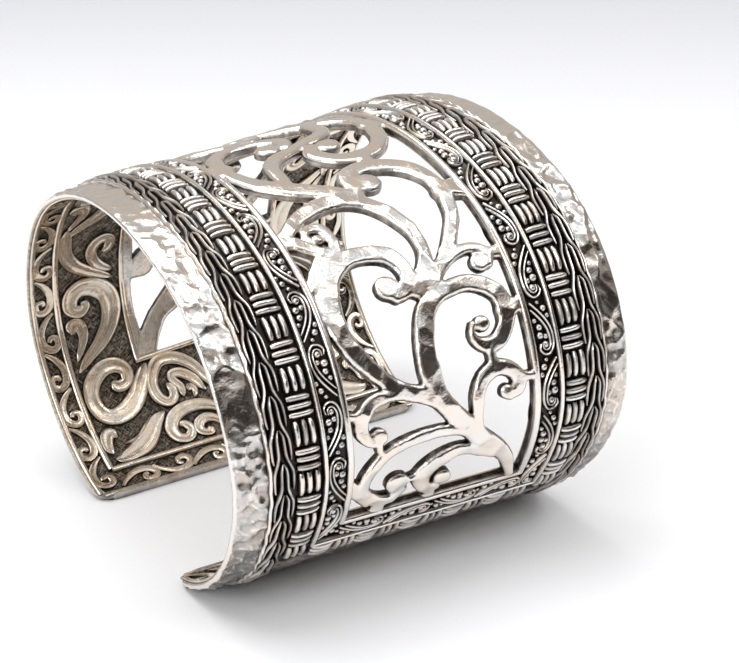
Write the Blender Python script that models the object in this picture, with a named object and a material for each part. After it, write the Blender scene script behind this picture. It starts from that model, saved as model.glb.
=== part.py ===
"""Cuff bracelet in silver: one soldered piece that stands on its two terminals.

The cuff is laid out flat, as a silversmith does before bending it. In the layout, "across" runs
along the wrist's axis (world X), "along" runs round the wrist from the middle of the top, and
"height" is measured outward from the face that touches the wrist. The flat layout holds the
outline, the pierced scrollwork in its window and the raised wires and bands. The last step bends
the layout round the wrist. Lengths are in metres and angles in degrees.
"""
import math
from collections import namedtuple

import bmesh
import bpy
from mathutils import Vector
from mathutils.bvhtree import BVHTree
from mathutils.geometry import delaunay_2d_cdt
from mathutils.kdtree import KDTree

# The outer curve, from the middle of the top round to one terminal, as four arcs
CROWN_RADIUS, CROWN_TURN = 0.0412, 26.5
SHOULDER_RADIUS, SHOULDER_TURN = 0.0242, 54.0
SIDE_RADIUS, SIDE_TURN = 0.0150, 28.3
UNDER_RADIUS, UNDER_TURN = 0.0252, 59.6

# The blank, and how a hand-made cuff departs from a true one
HALF_WIDTH = 0.0250
WALL = 0.00125
CORNER_RADIUS = 0.0028
RIM_BEVEL = 0.00025
FOOT_FLAT = 0.0010
FLARE = 0.043                 # the +X rim is larger than the middle by this share
TERMINAL_NARROWING = 0.0265   # the terminals are narrower than the top by this share
PATTERN_OFFSET = 0.0005       # the window sits this far off the middle
PATTERN_SKEW = 0.04           # and its ends run this much out of square

# The window, and the bands that frame it on all four sides, from the window outward
WINDOW_HALF_WIDTH = 0.0115
TERMINAL_LENGTH = 0.0212
FRAME_WIRE_WIDTH = 0.0009
BEAD_BAND_WIDTH = 0.0023
INNER_WIRE_WIDTH = 0.0006
WEAVE_BAND_WIDTH = 0.0033
WEAVE_EDGE = 0.00015

# The bands that run straight from terminal to terminal, beside the weave
BARK_BAND_WIDTH = 0.0026
OUTER_WIRE_WIDTH = 0.0005
BAND_END_MARGIN = 0.0025
BAND_END_SLOPE = 0.0012

# Heights above the inner face
BEAD_GROUND = 0.0010
FRAME_WIRE_CROWN = 0.00155
INNER_WIRE_CROWN = 0.0018
WEAVE_HEIGHT = 0.0017
BARK_CROWN = 0.0020
OUTER_WIRE_CROWN = 0.0017
STROKE_EDGE = 0.00085
STROKE_CROWN = 0.00130

# The scrollwork: every stroke's half width is a share of this one
STROKE_HALF_WIDTH = 0.0012
CHORD_TURN = 21.0
CHORD_LENGTH = 0.0036
BULB_SIDES = 10

# The bend is faceted by stations, one for each of these turns of the outer curve
STATION_TURN = 9.5
MERGE_DISTANCE = 0.00001

# One row of a stroke or a bulb: shares of the window's half width, of its half length and of
# STROKE_HALF_WIDTH. The window's other half is the same scrollwork turned half round.
Row = namedtuple("Row", "across along half_width")
SCROLLWORK = {
    "stem": [(0.88, 1.000, 0.42), (0.78, 0.944, 0.75), (0.61, 0.901, 0.96), (0.39, 0.859, 1.00),
             (0.22, 0.821, 1.04), (0.06, 0.780, 0.96), (-0.06, 0.739, 1.04), (-0.09, 0.693, 1.04)],
    "great_scroll": [(-0.08, 0.723, 1.04), (-0.10, 0.686, 1.04), (-0.09, 0.645, 1.00),
                     (-0.04, 0.608, 1.04), (0.04, 0.572, 1.00), (0.19, 0.547, 0.88),
                     (0.36, 0.538, 0.83), (0.53, 0.535, 0.83), (0.70, 0.548, 0.88),
                     (0.83, 0.575, 0.92), (0.85, 0.610, 0.92), (0.80, 0.643, 0.83),
                     (0.69, 0.666, 0.83), (0.56, 0.669, 0.79), (0.46, 0.657, 0.54),
                     (0.43, 0.639, 0.38), (0.46, 0.622, 0.33)],
    "branch": [(0.01, 0.766, 0.67), (-0.18, 0.740, 0.83), (-0.41, 0.718, 0.83),
               (-0.59, 0.685, 0.79), (-0.74, 0.642, 0.88), (-0.85, 0.597, 0.96),
               (-0.89, 0.551, 1.04), (-0.87, 0.505, 1.13), (-0.80, 0.463, 1.17),
               (-0.66, 0.433, 1.17), (-0.48, 0.420, 1.00), (-0.29, 0.422, 0.96),
               (-0.12, 0.437, 0.96), (-0.03, 0.464, 0.88), (-0.02, 0.496, 0.83),
               (-0.09, 0.520, 0.83), (-0.20, 0.530, 0.67)],
    "branch_leaf": [(-1.00, 0.476, 0.42), (-0.86, 0.442, 0.83), (-0.70, 0.411, 1.00),
                    (-0.58, 0.399, 0.75)],
    "hook": [(-0.60, 0.407, 0.75), (-0.54, 0.380, 0.62), (-0.53, 0.353, 0.54),
             (-0.57, 0.329, 0.67), (-0.67, 0.322, 0.62), (-0.76, 0.338, 0.42),
             (-0.74, 0.358, 0.38)],
    "hook_stub": [(-1.02, 0.338, 0.92), (-0.88, 0.356, 0.83), (-0.74, 0.386, 0.67),
                  (-0.62, 0.407, 0.58)],
    "foot_scroll": [(0.25, 0.838, 0.50), (0.03, 0.825, 0.62), (-0.25, 0.823, 0.62),
                    (-0.52, 0.833, 0.62), (-0.72, 0.857, 0.67), (-0.84, 0.889, 0.71),
                    (-0.87, 0.924, 0.71), (-0.79, 0.953, 0.75), (-0.65, 0.971, 0.75),
                    (-0.51, 0.969, 0.62), (-0.41, 0.954, 0.50)],
    "foot_leaf": [(-1.02, 0.893, 0.42), (-0.97, 0.916, 0.67), (-0.88, 0.943, 0.67),
                  (-0.81, 0.968, 0.42)],
    "foot_curl": [(0.60, 0.919, 0.42), (0.39, 0.895, 0.62), (0.22, 0.882, 0.71),
                  (0.06, 0.883, 0.75), (-0.10, 0.898, 0.92), (-0.21, 0.924, 1.04),
                  (-0.19, 0.954, 0.83), (-0.11, 0.973, 0.67), (-0.01, 0.976, 0.58)],
    "left_curl": [(-0.41, 0.725, 0.58), (-0.59, 0.721, 0.67), (-0.75, 0.728, 0.71),
                  (-0.86, 0.751, 0.75), (-0.89, 0.781, 0.71), (-0.83, 0.804, 0.58),
                  (-0.76, 0.813, 0.42)],
    "right_curl": [(0.38, 0.840, 0.42), (0.36, 0.798, 0.62), (0.38, 0.763, 0.71),
                   (0.47, 0.733, 0.79), (0.61, 0.719, 0.83), (0.75, 0.727, 0.79),
                   (0.84, 0.748, 0.75), (0.83, 0.772, 0.71), (0.74, 0.782, 0.50)],
    "right_bud": [(0.17, 0.531, 0.67), (0.30, 0.497, 0.79), (0.48, 0.475, 0.62),
                  (0.65, 0.464, 0.58), (0.80, 0.468, 0.58), (0.89, 0.486, 0.50),
                  (0.85, 0.508, 0.42)],
    "arch": [(0.03, 0.523, 1.00), (0.17, 0.494, 0.92), (0.26, 0.451, 0.71), (0.27, 0.403, 0.71),
             (0.21, 0.359, 0.79), (0.12, 0.319, 0.83), (0.01, 0.287, 0.92), (-0.15, 0.266, 0.96),
             (-0.33, 0.259, 1.00), (-0.52, 0.268, 0.96), (-0.72, 0.288, 0.83),
             (-0.88, 0.317, 0.75), (-1.02, 0.336, 0.75)],
    "tall_scroll": [(0.41, 0.475, 0.58), (0.53, 0.449, 0.75), (0.63, 0.418, 0.75),
                    (0.73, 0.384, 0.75), (0.79, 0.343, 0.79), (0.82, 0.302, 0.83),
                    (0.81, 0.258, 0.88), (0.72, 0.219, 0.96), (0.58, 0.190, 1.00),
                    (0.41, 0.173, 1.04), (0.24, 0.171, 1.00), (0.10, 0.185, 1.04),
                    (0.04, 0.210, 0.92), (0.07, 0.237, 0.83)],
    "heart": [(-0.01, 0.265, 0.75), (-0.17, 0.237, 1.00), (-0.36, 0.209, 1.08),
              (-0.57, 0.178, 1.13), (-0.76, 0.139, 1.04), (-0.87, 0.090, 0.92),
              (-0.90, 0.035, 0.83), (-0.86, -0.020, 0.88), (-0.77, -0.071, 0.92),
              (-0.60, -0.109, 0.92), (-0.38, -0.122, 1.00), (-0.20, -0.114, 1.00),
              (-0.08, -0.091, 0.96), (-0.03, -0.059, 0.92), (-0.09, -0.025, 0.75)],
    "link": [(-0.53, 0.170, 0.67), (-0.51, 0.126, 0.79), (-0.48, 0.081, 0.83),
             (-0.39, 0.048, 0.92), (-0.24, 0.026, 0.92), (-0.10, 0.012, 0.83), (0.00, 0.000, 0.75)],
    # Short ties, where a scroll is soldered to the frame or to its neighbour
    "tie_heart": [(-0.88, 0.024, 1.00), (-1.03, 0.024, 1.80)],
    "tie_branch": [(-0.88, 0.520, 1.00), (-1.03, 0.522, 1.50)],
    "tie_left_curl": [(-0.87, 0.750, 0.50), (-1.03, 0.744, 0.42)],
    "tie_great": [(0.84, 0.608, 0.90), (1.03, 0.602, 0.70)],
    "tie_curls": [(0.59, 0.675, 0.50), (0.59, 0.712, 0.50)],
    "tie_right_curl": [(0.84, 0.750, 0.60), (1.03, 0.752, 0.40)],
    "tie_bud": [(0.85, 0.484, 0.58), (1.03, 0.487, 0.67)],
    "tie_tall": [(0.81, 0.305, 0.90), (1.03, 0.308, 1.40)],
    "tie_tall_top": [(0.41, 0.180, 0.75), (0.41, 0.120, 0.75)],
    "tie_tall_end": [(0.06, 0.225, 0.75), (0.00, 0.268, 0.75)],
    "tie_foot": [(-0.65, 0.972, 0.67), (-0.65, 1.012, 0.83)],
    "tie_foot_curl": [(-0.06, 0.976, 0.58), (-0.06, 1.012, 0.75)],
    "tie_bulbs": [(-0.40, 0.927, 0.33), (-0.20, 0.922, 0.42)],
    "tie_left_foot": [(-0.72, 0.800, 0.33), (-0.72, 0.832, 0.33)],
}
BULBS = {
    "great_scroll": (0.56, 0.625, 0.79), "branch": (-0.26, 0.507, 1.21),
    "hook": (-0.66, 0.357, 0.62), "foot_scroll": (-0.49, 0.930, 1.21),
    "foot_curl": (0.03, 0.948, 0.92), "left_curl": (-0.72, 0.800, 0.83),
    "right_curl": (0.70, 0.773, 0.75), "right_bud": (0.76, 0.500, 0.96),
    "tall_scroll": (0.20, 0.229, 1.38), "heart": (-0.26, -0.033, 1.33),
}

ARCS = ((CROWN_RADIUS, math.radians(CROWN_TURN)), (SHOULDER_RADIUS, math.radians(SHOULDER_TURN)),
        (SIDE_RADIUS, math.radians(SIDE_TURN)), (UNDER_RADIUS, math.radians(UNDER_TURN)))
HALF_LENGTH = sum(radius * turn for radius, turn in ARCS)
WINDOW_HALF_LENGTH = HALF_LENGTH - TERMINAL_LENGTH


def outer_curve(along):
    """Depth, height and heading of the outer curve, a distance along it from the top's middle."""
    depth = height = heading = 0.0
    left = abs(along)
    for radius, turn in ARCS:
        part = min(left / radius, turn)
        depth += radius * (math.sin(heading + part) - math.sin(heading))
        height -= radius * (math.cos(heading) - math.cos(heading + part))
        heading += part
        left -= part * radius
    return depth, height, heading


FLOOR_LEVEL = outer_curve(HALF_LENGTH - FOOT_FLAT)[1]


def bend(across, along, height):
    """The world place of a point of the flat layout."""
    depth, level, heading = outer_curve(along)
    offset = height - WALL
    depth += offset * math.sin(heading)
    level += offset * math.cos(heading) - FLOOR_LEVEL
    flare = 1.0 + FLARE * across / HALF_WIDTH
    narrowing = 1.0 - TERMINAL_NARROWING * (along / HALF_LENGTH) ** 2
    side = -1.0 if along > 0.0 else 1.0
    return Vector((across * narrowing, side * depth * flare, max(level * flare, 0.0)))


def pattern_point(across, along):
    """A point of the pattern, which sits a little off the middle and out of square."""
    return Vector((across + PATTERN_OFFSET, along + PATTERN_SKEW * across))


def pattern_place(point):
    """The same point read back in the pattern's own axes."""
    across = point.x - PATTERN_OFFSET
    return across, point.y - PATTERN_SKEW * across


def frame_steps():
    """Distance outward from the window and height there, for the bands that frame the window."""
    steps = []
    reach = 0.0
    for width, crown in ((FRAME_WIRE_WIDTH, FRAME_WIRE_CROWN), (BEAD_BAND_WIDTH, None),
                         (INNER_WIRE_WIDTH, INNER_WIRE_CROWN)):
        steps.append((reach, BEAD_GROUND))
        if crown:
            steps.append((reach + width / 2, crown))
        reach += width
    steps.append((reach, BEAD_GROUND))
    steps.append((reach + WEAVE_EDGE, WEAVE_HEIGHT))
    steps.append((reach + WEAVE_BAND_WIDTH - WEAVE_EDGE, WEAVE_HEIGHT))
    steps.append((reach + WEAVE_BAND_WIDTH, WALL))
    return steps


def side_steps(start):
    """Distance from the pattern's middle and height there, for the straight bands."""
    bark_end = start + BARK_BAND_WIDTH
    quarter = BARK_BAND_WIDTH / 4
    shoulder = WALL + 0.75 * (BARK_CROWN - WALL)
    wire_end = bark_end + OUTER_WIRE_WIDTH
    return [(start, WALL), (start + quarter, shoulder), (start + 2 * quarter, BARK_CROWN),
            (bark_end - quarter, shoulder), (bark_end, WALL),
            ((bark_end + wire_end) / 2, OUTER_WIRE_CROWN), (wire_end, WALL)]


FRAME_STEPS = frame_steps()
FRAME_REACH = FRAME_STEPS[-1][0]
SIDE_STEPS = side_steps(WINDOW_HALF_WIDTH + FRAME_REACH)


def read_steps(steps, reach):
    """The height at one distance, read off a list of steps."""
    for (near, low), (far, high) in zip(steps, steps[1:]):
        if near <= reach <= far:
            return low + (high - low) * (reach - near) / (far - near)
    return None


def scroll_curve(rows):
    """A smooth line through a stroke's rows, with chords no longer or more turned than allowed."""
    knots = [Vector((*pattern_point(row.across * WINDOW_HALF_WIDTH, row.along * WINDOW_HALF_LENGTH),
                     row.half_width * STROKE_HALF_WIDTH)) for row in map(Row._make, rows)]
    knots = [2 * knots[0] - knots[1], *knots, 2 * knots[-1] - knots[-2]]
    fine = []
    parts = 8
    for before, start, end, after in zip(knots, knots[1:], knots[2:], knots[3:]):
        for part in range(parts):
            t = part / parts
            fine.append(0.5 * (2 * start + (end - before) * t
                               + (2 * before - 5 * start + 4 * end - after) * t ** 2
                               + (3 * start - before - 3 * end + after) * t ** 3))
    fine.append(knots[-2])
    points = [fine[0]]
    heading = (fine[1] - fine[0]).xy
    for here, after in zip(fine[1:], fine[2:]):
        ahead = (after - here).xy
        if heading.angle(ahead) > math.radians(CHORD_TURN) or (here - points[-1]).xy.length > CHORD_LENGTH:
            points.append(here)
            heading = ahead
    points.append(fine[-1])
    return points


def turned(point):
    """The point's twin in the other half of the window."""
    return Vector((2 * PATTERN_OFFSET - point.x, -point.y, *point[2:]))


def all_strokes():
    """Every stroke of both halves, each a list of points with a half width."""
    strokes = []
    for rows in SCROLLWORK.values():
        curve = scroll_curve(rows)
        strokes += [curve, [turned(point) for point in curve]]
    return strokes


def all_bulbs():
    """The round bulb that ends each scroll, in both halves, as centre and radius."""
    bulbs = []
    for row in map(Row._make, BULBS.values()):
        centre = pattern_point(row.across * WINDOW_HALF_WIDTH, row.along * WINDOW_HALF_LENGTH)
        radius = row.half_width * STROKE_HALF_WIDTH
        bulbs += [(centre, radius), (turned(centre), radius)]
    return bulbs


STROKES = all_strokes()
BULB_CIRCLES = all_bulbs()


def scroll_height(point):
    """Height of the scrollwork at a point: domed from each stroke's edge to its middle line."""
    best = STROKE_EDGE
    for stroke in STROKES:
        for start, end in zip(stroke, stroke[1:]):
            run = (end - start).xy
            share = max(0.0, min(1.0, (point - start.xy).dot(run) / run.length_squared))
            half = start.z + (end.z - start.z) * share
            distance = (point - start.xy - run * share).length
            if distance < half:
                best = max(best, STROKE_EDGE + (STROKE_CROWN - STROKE_EDGE) * (1 - distance / half))
    for centre, radius in BULB_CIRCLES:
        distance = (point - centre).length
        if distance < radius:
            best = max(best, STROKE_EDGE + (STROKE_CROWN - STROKE_EDGE) * (1 - distance / radius))
    return best


def outer_height(point):
    """Height of the outer face at a point of the flat layout."""
    across, along = pattern_place(point)
    reach = max(abs(across) - WINDOW_HALF_WIDTH, abs(along) - WINDOW_HALF_LENGTH)
    if reach < -MERGE_DISTANCE:
        return scroll_height(point)
    height = read_steps(SIDE_STEPS, abs(across))
    if height is None and abs(across) < SIDE_STEPS[0][0]:
        height = read_steps(FRAME_STEPS, max(reach, 0.0))
    if height is None:
        height = WALL
    to_end = HALF_LENGTH - BAND_END_MARGIN - abs(point.y)
    fade = max(0.0, min(1.0, to_end / BAND_END_SLOPE))
    bevel = max(0.0, RIM_BEVEL - rim_distance(point))
    return WALL + (height - WALL) * fade - bevel


def rim_distance(point):
    """How far a point lies inside the blank's edge."""
    side = HALF_WIDTH - abs(point.x)
    end = HALF_LENGTH - abs(point.y)
    if side < CORNER_RADIUS and end < CORNER_RADIUS:
        corner = Vector((CORNER_RADIUS - side, CORNER_RADIUS - end))
        return max(0.0, CORNER_RADIUS - corner.length)
    return max(0.0, min(side, end))


def blank_outline(inset):
    """The blank's outline with round corners, a distance inside its edge."""
    radius = CORNER_RADIUS - inset
    steps = 4
    points = []
    for quarter, (side, end) in enumerate(((1, 1), (-1, 1), (-1, -1), (1, -1))):
        centre = Vector((side * (HALF_WIDTH - CORNER_RADIUS), end * (HALF_LENGTH - CORNER_RADIUS)))
        for step in range(steps + 1):
            angle = math.radians(90 * quarter + 90 * step / steps)
            points.append(centre + radius * Vector((math.cos(angle), math.sin(angle))))
    return points


def stations():
    """The distances along the blank where the bend turns, both ways from the middle."""
    marks = [0.0]
    start = 0.0
    for radius, turn in ARCS:
        count = math.ceil(turn / math.radians(STATION_TURN))
        marks += [start + radius * turn * (step + 1) / count for step in range(count)]
        start += radius * turn
    marks[-1] = HALF_LENGTH - FOOT_FLAT
    marks.append(HALF_LENGTH - BAND_END_MARGIN)
    marks.append(HALF_LENGTH - BAND_END_MARGIN - BAND_END_SLOPE)
    return sorted({mark * side for mark in marks for side in (-1, 1)})


class Plan:
    """Lines of the flat layout, gathered for one triangulation."""

    def __init__(self):
        self.points = []
        self.edges = []

    def line(self, *points):
        first = len(self.points)
        self.points += [Vector(point[:2]) for point in points]
        self.edges += [(index, index + 1) for index in range(first, len(self.points) - 1)]

    def ring(self, points):
        first = len(self.points)
        self.line(*points)
        self.edges.append((len(self.points) - 1, first))

    def triangles(self, keep):
        """The triangles whose middle satisfies keep, as points and index triples."""
        whole_hull = 0
        points, _, faces, _, _, _ = delaunay_2d_cdt(
            self.points, self.edges, [], whole_hull, MERGE_DISTANCE)
        kept = [face for face in faces if keep(sum((points[i] for i in face), Vector((0, 0))) / 3)]
        return points, welded(points, kept)


def welded(points, faces):
    """The same triangles, with points that lie closer than MERGE_DISTANCE made one."""
    used = sorted({index for face in faces for index in face})
    tree = KDTree(len(used))
    for index in used:
        tree.insert((*points[index], 0.0), index)
    tree.balance()
    kept = {}
    for index in used:
        nearest = min(near for _, near, _ in tree.find_range((*points[index], 0.0), MERGE_DISTANCE))
        kept[index] = kept.get(nearest, nearest)
    moved = [tuple(kept[index] for index in face) for face in faces]
    return [face for face in moved if len(set(face)) == len(face)]


class Shape:
    """A flat area made of polygons, which can say whether it covers a point."""

    def __init__(self, polygons):
        corners = [Vector((*point[:2], 0.0)) for polygon in polygons for point in polygon]
        faces = []
        for polygon in polygons:
            first = faces[-1][-1] + 1 if faces else 0
            faces.append(list(range(first, first + len(polygon))))
        self.tree = BVHTree.FromPolygons(corners, faces)

    def covers(self, point):
        above, down = Vector((*point[:2], 1.0)), Vector((0.0, 0.0, -1.0))
        return self.tree.ray_cast(above, down)[0] is not None


def add_stations(plan):
    for mark in stations():
        plan.line((-HALF_WIDTH, mark), (HALF_WIDTH, mark))


def frame_corners(reach):
    """The corners of a rectangle a distance outside the window."""
    across = WINDOW_HALF_WIDTH + reach
    along = WINDOW_HALF_LENGTH + reach
    return [pattern_point(x * across, y * along) for x, y in ((1, 1), (-1, 1), (-1, -1), (1, -1))]


def stroke_strips(stroke):
    """A stroke's four-sided pieces, half on each side of its middle line."""
    pieces = []
    for turn in (-1, 1):
        border = []
        for index, here in enumerate(stroke):
            before = stroke[max(index - 1, 0)]
            after = stroke[min(index + 1, len(stroke) - 1)]
            border.append(here.xy + turn * here.z * (after - before).xy.normalized().orthogonal())
        for index in range(len(stroke) - 1):
            middle, ahead = stroke[index].xy, stroke[index + 1].xy
            pieces += [(middle, ahead, border[index + 1]), (middle, border[index + 1], border[index])]
    return pieces


def bulb_outline(centre, radius):
    angles = [math.tau * side / BULB_SIDES for side in range(BULB_SIDES)]
    return [centre + radius * Vector((math.cos(angle), math.sin(angle))) for angle in angles]


def outer_face():
    """The outer face's triangles: the blank less its window, plus the strokes and bulbs."""
    strips = [piece for stroke in STROKES for piece in stroke_strips(stroke)]
    bulbs = [bulb_outline(centre, radius) for centre, radius in BULB_CIRCLES]
    blank, window, scrolls = Shape([blank_outline(0.0)]), Shape([frame_corners(0.0)]), Shape(strips + bulbs)
    plan = Plan()
    plan.ring(blank_outline(0.0))
    plan.ring(blank_outline(RIM_BEVEL))
    for reach, _ in FRAME_STEPS:
        plan.ring(frame_corners(reach))
    edge_end = HALF_LENGTH - BAND_END_MARGIN
    for reach, _ in SIDE_STEPS[1:]:
        for side in (-1, 1):
            across = PATTERN_OFFSET + side * reach
            plan.line((across, -edge_end), (across, edge_end))
    for side in (-1, 1):
        for end in (-1, 1):
            corner = pattern_point(side * SIDE_STEPS[0][0], end * (WINDOW_HALF_LENGTH + FRAME_REACH))
            plan.line(corner, (corner.x, end * edge_end))
    for outline in strips + bulbs:
        plan.ring(outline)
    for centre, _ in BULB_CIRCLES:
        plan.points.append(centre)
    add_stations(plan)
    return plan.triangles(lambda point: blank.covers(point)
                          and (scrolls.covers(point) or not window.covers(point)))


def merge_inner_face(mesh, verts):
    """Merge the flat inner face's small triangles, but keep its border and its bend lines."""
    marks = stations()

    def is_bend_line(edge):
        start, end = (vert.co.y for vert in edge.verts)
        return abs(start - end) < MERGE_DISTANCE and min(abs(start - mark) for mark in marks) < MERGE_DISTANCE

    inner = set(verts)
    edges = [edge for edge in mesh.edges if inner.issuperset(edge.verts) and not is_bend_line(edge)]
    flat = math.radians(0.1)
    bmesh.ops.dissolve_limit(mesh, angle_limit=flat, verts=verts, edges=edges)


def cuff_mesh():
    """The bent cuff as one closed mesh."""
    points, faces = outer_face()
    mesh = bmesh.new()
    used = {index for face in faces for index in face}
    inner = {index: mesh.verts.new((*points[index], 0.0)) for index in sorted(used)}
    for face in faces:
        mesh.faces.new([inner[index] for index in face])
    raised = bmesh.ops.extrude_face_region(mesh, geom=mesh.faces[:], use_keep_orig=True)["geom"]
    outer = [corner for corner in raised if isinstance(corner, bmesh.types.BMVert)]
    for corner in outer:
        corner.co.z = outer_height(corner.co.xy)
    merge_inner_face(mesh, [corner for corner in mesh.verts if corner not in set(outer)])
    bmesh.ops.triangulate(mesh, faces=mesh.faces[:])
    for corner in mesh.verts:
        corner.co = bend(*corner.co)
    bmesh.ops.recalc_face_normals(mesh, faces=mesh.faces[:])
    if mesh.calc_volume(signed=True) < 0.0:
        bmesh.ops.reverse_faces(mesh, faces=mesh.faces[:])
    return mesh


def silver(name, colour, roughness):
    material = bpy.data.materials.new(name)
    material.use_nodes = True
    shader = material.node_tree.nodes["Principled BSDF"]
    shader.inputs["Base Color"].default_value = colour
    shader.inputs["Metallic"].default_value = 1.0
    shader.inputs["Roughness"].default_value = roughness
    return material


def clear_scene():
    for leftover in list(bpy.data.objects):
        bpy.data.objects.remove(leftover, do_unlink=True)


def build():
    clear_scene()
    collection = bpy.data.collections.new("cuff_bracelet")
    bpy.context.scene.collection.children.link(collection)
    data = bpy.data.meshes.new("cuff")
    mesh = cuff_mesh()
    mesh.to_mesh(data)
    mesh.free()
    cuff = bpy.data.objects.new("cuff", data)
    cuff.data.materials.append(silver("antiqued_silver", (0.80, 0.78, 0.74, 1.0), 0.25))
    collection.objects.link(cuff)


build()
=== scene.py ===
"""The looks of a wide silver cuff bracelet, laid out flat and then bent round the wrist."""
import math

import bmesh
import bpy
import numpy as np
from mathutils import Matrix, Vector


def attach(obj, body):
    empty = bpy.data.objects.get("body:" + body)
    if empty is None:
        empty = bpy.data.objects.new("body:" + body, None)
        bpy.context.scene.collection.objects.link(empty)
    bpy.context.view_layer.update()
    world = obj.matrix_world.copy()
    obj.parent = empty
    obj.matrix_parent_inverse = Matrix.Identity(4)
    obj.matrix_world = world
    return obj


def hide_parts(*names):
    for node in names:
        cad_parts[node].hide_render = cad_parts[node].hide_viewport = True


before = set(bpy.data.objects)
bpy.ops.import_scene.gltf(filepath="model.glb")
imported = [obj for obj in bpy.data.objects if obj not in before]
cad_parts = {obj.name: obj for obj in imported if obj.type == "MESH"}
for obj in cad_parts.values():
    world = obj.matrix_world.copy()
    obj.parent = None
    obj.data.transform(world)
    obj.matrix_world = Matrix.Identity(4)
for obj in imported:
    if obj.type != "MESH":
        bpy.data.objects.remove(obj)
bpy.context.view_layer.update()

# The sheet: one piece of silver, cut to a rectangle with round corners, its window sawn out, its
# two long edges and its ends hammered with a ball hammer, and then bent round a mandrel. Lengths
# are in millimetres on the flat sheet: across, along, and height above the wrist side.
HALF_WIDTH = 25.0
WALL = 1.25
ARCS = ((41.2, math.radians(26.5)), (24.2, math.radians(54.0)),
        (15.0, math.radians(28.3)), (25.2, math.radians(59.6)))
HALF_LENGTH = sum(radius * turn for radius, turn in ARCS)
FOOT_FLAT = 1.0
FLARE = 0.043
TERMINAL_NARROWING = 0.0265
MILLIMETRE = 0.001


def outer_curve(along):
    """Depth, level and heading of the outer curve, a distance along it from the top's middle."""
    left = np.abs(along)
    depth, level, heading = np.zeros_like(left), np.zeros_like(left), np.zeros_like(left)
    for radius, turn in ARCS:
        part = np.clip(left / radius, 0.0, turn)
        depth = depth + radius * (np.sin(heading + part) - np.sin(heading))
        level = level - radius * (np.cos(heading) - np.cos(heading + part))
        heading = heading + part
        left = left - part * radius
    return depth, level, heading


FLOOR_LEVEL = outer_curve(np.array([HALF_LENGTH - FOOT_FLAT]))[1][0]


def bent(places):
    """The world places of points of the flat sheet."""
    across, along, height = places.T
    depth, level, heading = outer_curve(along)
    depth = depth + (height - WALL) * np.sin(heading)
    level = level + (height - WALL) * np.cos(heading) - FLOOR_LEVEL
    flare = 1.0 + FLARE * across / HALF_WIDTH
    narrowing = 1.0 - TERMINAL_NARROWING * (along / HALF_LENGTH) ** 2
    side = np.where(along > 0.0, -1.0, 1.0)
    bent_places = (across * narrowing, side * depth * flare, np.maximum(level * flare, 0.0))
    return np.stack(bent_places, axis=1) * MILLIMETRE


def smooth(low, high, value):
    """A soft step from nought at low to one at high."""
    share = np.clip((value - low) / (high - low), 0.0, 1.0)
    return share * share * (3.0 - 2.0 * share)


SHARP_EDGE = math.radians(48.0)
# Every piece is drawn lighter toward the crown: by this much at the top, fading out between these two
# distances along it.
CROWN_LIGHTENING, CROWN_START, CROWN_END = 0.2, 10.0, 30.0


def make_piece(name, places, faces, polish, material):
    """A piece of the cuff: bent, closed, smooth, with its polish and how much lighter it is drawn toward the
    crown kept at each point.
    """
    mesh = bpy.data.meshes.new(name)
    mesh.from_pydata(bent(places).tolist(), [], [list(map(int, face)) for face in faces])
    mesh.attributes.new("polish", "FLOAT", "POINT").data.foreach_set("value", np.asarray(polish, np.float32))
    crown_lightening = CROWN_LIGHTENING * (1.0 - smooth(CROWN_START, CROWN_END, np.abs(places[:, 1])))
    mesh.attributes.new("crown_lightening", "FLOAT", "POINT").data.foreach_set("value", crown_lightening.astype(np.float32))
    flat = mesh.attributes.new("flat", "FLOAT_VECTOR", "POINT")
    flat.data.foreach_set("vector", np.asarray(places, np.float32).ravel())
    work = bmesh.new()
    work.from_mesh(mesh)
    bmesh.ops.recalc_face_normals(work, faces=work.faces)
    for face in work.faces:
        face.smooth = True
    for edge in work.edges:
        edge.smooth = edge.calc_face_angle(0.0) < SHARP_EDGE
    work.to_mesh(mesh)
    work.free()
    piece = bpy.data.objects.new(name, mesh)
    bpy.context.scene.collection.objects.link(piece)
    mesh.materials.append(material)
    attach(piece, "root")
    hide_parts("cuff")
    return piece


# How fine each kind of mark in the metal is, in cells to the metre, and how deep, in metres.
MOTTLE_SCALE, TINT_SCALE, BLOTCH_SCALE, DENT_SCALE, SCRATCH_SCALE = 900.0, 330.0, 300.0, 420.0, 3500.0
DENT_DEPTH, SCRATCH_DEPTH, HATCH_DEPTH = 0.0002, 0.00004, 0.00015
CREVICE_REACH = 0.0011
HATCH_TURNS, HATCH_SIZE = (0.7, -0.9), (0.8, 0.13, 1.0)
HATCH_CONTRAST, HATCH_MEAN = 4.0, 0.25
COLD_TINT, WARM_TINT, TINT_SHARE = (0.90, 0.955, 1.0), (1.0, 0.925, 0.86), 0.7
DARK_UP_TO, HALF_BRIGHT_AT, BRIGHT_FROM, HALF_BRIGHT = 0.12, 0.38, 0.72, 0.38
BLOTCH_ROUGHNESS = 0.22


def shades(nodes, *stops):
    """A run of colours, each given with its position."""
    made = nodes.new("ShaderNodeValToRGB")
    run = made.color_ramp.elements
    for colour, position in stops[1:-1]:
        run.new(position).color = (*colour, 1.0)
    for at, (colour, position) in ((0, stops[0]), (-1, stops[-1])):
        run[at].color, run[at].position = (*colour, 1.0), position
    return made


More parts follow.
